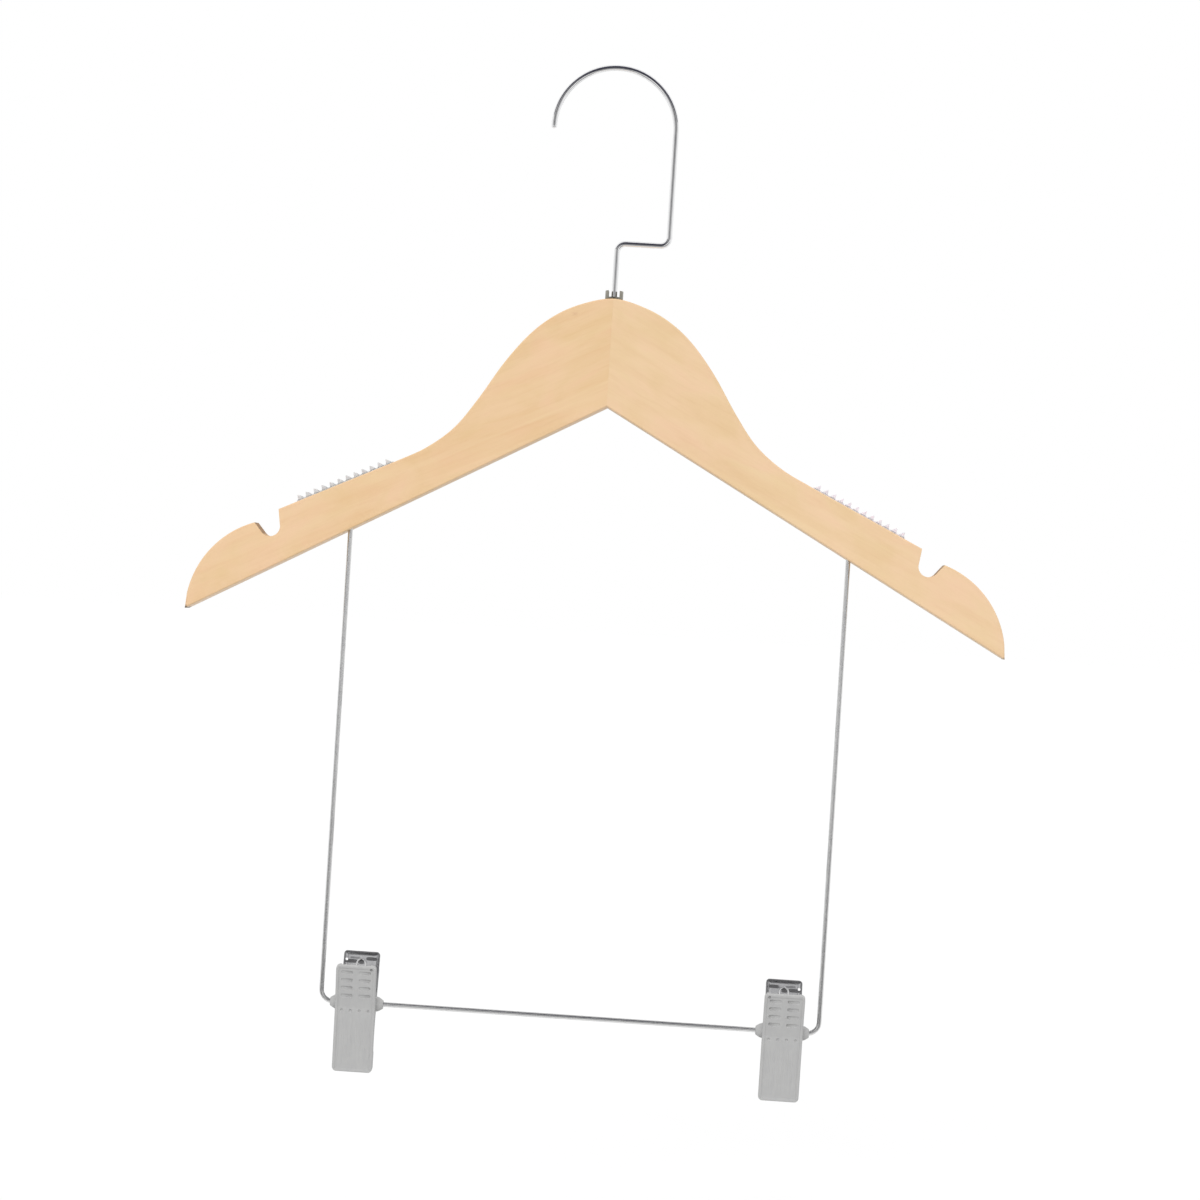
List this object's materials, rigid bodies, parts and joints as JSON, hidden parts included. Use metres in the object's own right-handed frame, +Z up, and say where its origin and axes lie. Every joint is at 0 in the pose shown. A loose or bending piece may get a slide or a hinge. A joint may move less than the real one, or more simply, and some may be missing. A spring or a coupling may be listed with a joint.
{
  "type": "clip hanger",
  "caption": "Child's wooden clothes hanger with a swivel hook, shoulder notches with ribbed grips, and a wire drop bar carrying sliding sprung clips for trousers or a skirt.",
  "frame": {"origin": "inside of the hook's crown, where the hanger sits on a rail", "axes": "+Z up, +X to the viewer's right along the wooden body, +Y away from the viewer through its thickness"},
  "size_m": [0.35, 0.0211, 0.4369],
  "materials": {
    "pale_wood": "satin lacquer",
    "dowel_wood": "plain",
    "silicone": "translucent",
    "chrome_wire": "polished",
    "nickel": "dull nickel",
    "zinc_wire": "bright zinc",
    "tray_steel": "polished",
    "spring_steel": "bright",
    "grey_plastic": "soft matt",
    "pivot_plastic": "satin"
  },
  "bodies": {
    "hook": {"hook_wire": "chrome_wire", "swivel_washer": "nickel"},
    "hanger": {"hook_insert": "nickel", "left_arm": "pale_wood", "right_arm": "pale_wood", "neck_dowel_upper": "dowel_wood", "neck_dowel_lower": "dowel_wood", "left_shoulder_grip": "silicone", "right_shoulder_grip": "silicone", "drop_frame": "zinc_wire"},
    "left_slider": {"left_clip_pivot_tube": "pivot_plastic", "left_clip_pivot_cap": "pivot_plastic"},
    "left_rear_jaw": {"left_clip_rear_plate": "tray_steel", "left_clip_rear_cover": "grey_plastic", "left_clip_spring": "spring_steel"},
    "left_front_jaw": {"left_clip_front_plate": "tray_steel", "left_clip_front_cover": "grey_plastic"},
    "right_slider": {"right_clip_pivot_tube": "pivot_plastic", "right_clip_pivot_cap": "pivot_plastic"},
    "right_rear_jaw": {"right_clip_rear_plate": "tray_steel", "right_clip_rear_cover": "grey_plastic", "right_clip_spring": "spring_steel"},
    "right_front_jaw": {"right_clip_front_plate": "tray_steel", "right_clip_front_cover": "grey_plastic"}
  },
  "joints": [
    {"name": "hook_swivel", "type": "hinge", "parent": "hook", "child": "hanger", "pos_m": [0.0041, 0, -0.098], "axis": [0, 0, 1], "continuous": true},
    {"name": "left_clip_slide", "type": "slide", "parent": "hanger", "child": "left_slider", "axis": [1, 0, 0], "range_m": [0, 0.079]},
    {"name": "left_clip_swing", "type": "hinge", "parent": "left_slider", "child": "left_rear_jaw", "pos_m": [-0.0871, 0, -0.4053], "axis": [1, 0, 0], "continuous": true},
    {"name": "left_jaw_open", "type": "hinge", "parent": "left_rear_jaw", "child": "left_front_jaw", "pos_m": [-0.0871, 0, -0.4053], "axis": [-1, 0, 0], "range_deg": [0, 42], "stiffness_Nm_per_rad": 0.01, "springref_deg": -57.3, "deforming": ["left_clip_spring"]},
    {"name": "right_clip_slide", "type": "slide", "parent": "hanger", "child": "right_slider", "axis": [-1, 0, 0], "range_m": [0, 0.079]},
    {"name": "right_clip_swing", "type": "hinge", "parent": "right_slider", "child": "right_rear_jaw", "pos_m": [0.0953, 0, -0.4053], "axis": [1, 0, 0], "continuous": true},
    {"name": "right_jaw_open", "type": "hinge", "parent": "right_rear_jaw", "child": "right_front_jaw", "pos_m": [0.0953, 0, -0.4053], "axis": [-1, 0, 0], "range_deg": [0, 42], "stiffness_Nm_per_rad": 0.01, "springref_deg": -57.3, "deforming": ["right_clip_spring"]}
  ]
}
